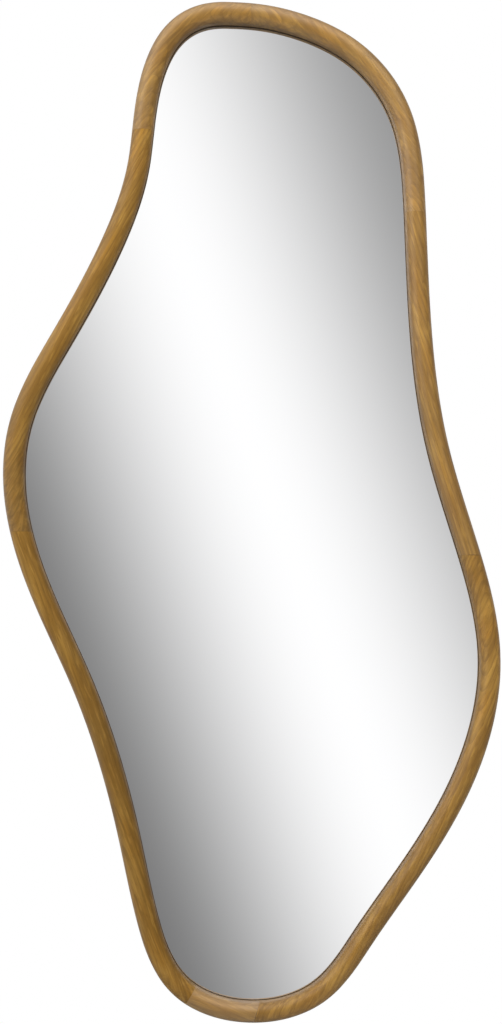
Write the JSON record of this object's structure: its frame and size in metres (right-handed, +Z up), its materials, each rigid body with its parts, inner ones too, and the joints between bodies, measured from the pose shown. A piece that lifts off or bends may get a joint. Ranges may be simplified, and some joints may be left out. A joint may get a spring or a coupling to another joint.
{
  "type": "free-form wall mirror",
  "caption": "Tall wall mirror with a wavy free-form outline, a round-fronted wooden bar frame and hinged D-ring hangers on its back.",
  "frame": {"origin": "on the wall plane, level with the hanger hinge pins, at the middle of the mirror's width", "axes": "+Z up, +X to the right as seen by someone looking into the mirror, +Y into the wall"},
  "size_m": [0.6822, 0.0395, 1.399],
  "materials": {
    "oiled_wood": "oiled oak, satin",
    "dowel_wood": "plain beech",
    "gasket_foam": "matt dark brown foam strip",
    "silvered_glass": "silvered float glass",
    "tape_foam": "double-sided foam tape",
    "board": "raw fibreboard",
    "screw_steel": "zinc plated",
    "hanger_steel": "bright zinc plated",
    "bumper_rubber": "matt"
  },
  "bodies": {
    "mirror_body": {"frame_top_left": "oiled_wood", "frame_left_upper": "oiled_wood", "frame_left_lower": "oiled_wood", "frame_bottom_left": "oiled_wood", "frame_bottom_right": "oiled_wood", "frame_right_lower": "oiled_wood", "frame_right_upper": "oiled_wood", "frame_top_right": "oiled_wood", "frame_dowels": "dowel_wood", "pane_gasket": "gasket_foam", "mirror_pane": "silvered_glass", "pane_tape": "tape_foam", "backing_board": "board", "board_screws": "screw_steel", "hanger_strap_left": "hanger_steel", "hanger_strap_right": "hanger_steel", "hanger_screws_left": "screw_steel", "hanger_screws_right": "screw_steel", "wall_bumpers": "bumper_rubber"},
    "left_ring": {"hanger_ring_left": "hanger_steel"},
    "right_ring": {"hanger_ring_right": "hanger_steel"}
  },
  "joints": [
    {"name": "left_ring_swing", "type": "hinge", "parent": "mirror_body", "child": "left_ring", "pos_m": [-0.16297, -0.00325, 0], "axis": [-0.9746, 0, 0.224], "range_deg": [0, 182]},
    {"name": "right_ring_swing", "type": "hinge", "parent": "mirror_body", "child": "right_ring", "pos_m": [0.22628, -0.00325, 0], "axis": [-0.9965, 0, -0.0835], "range_deg": [0, 182]}
  ]
}
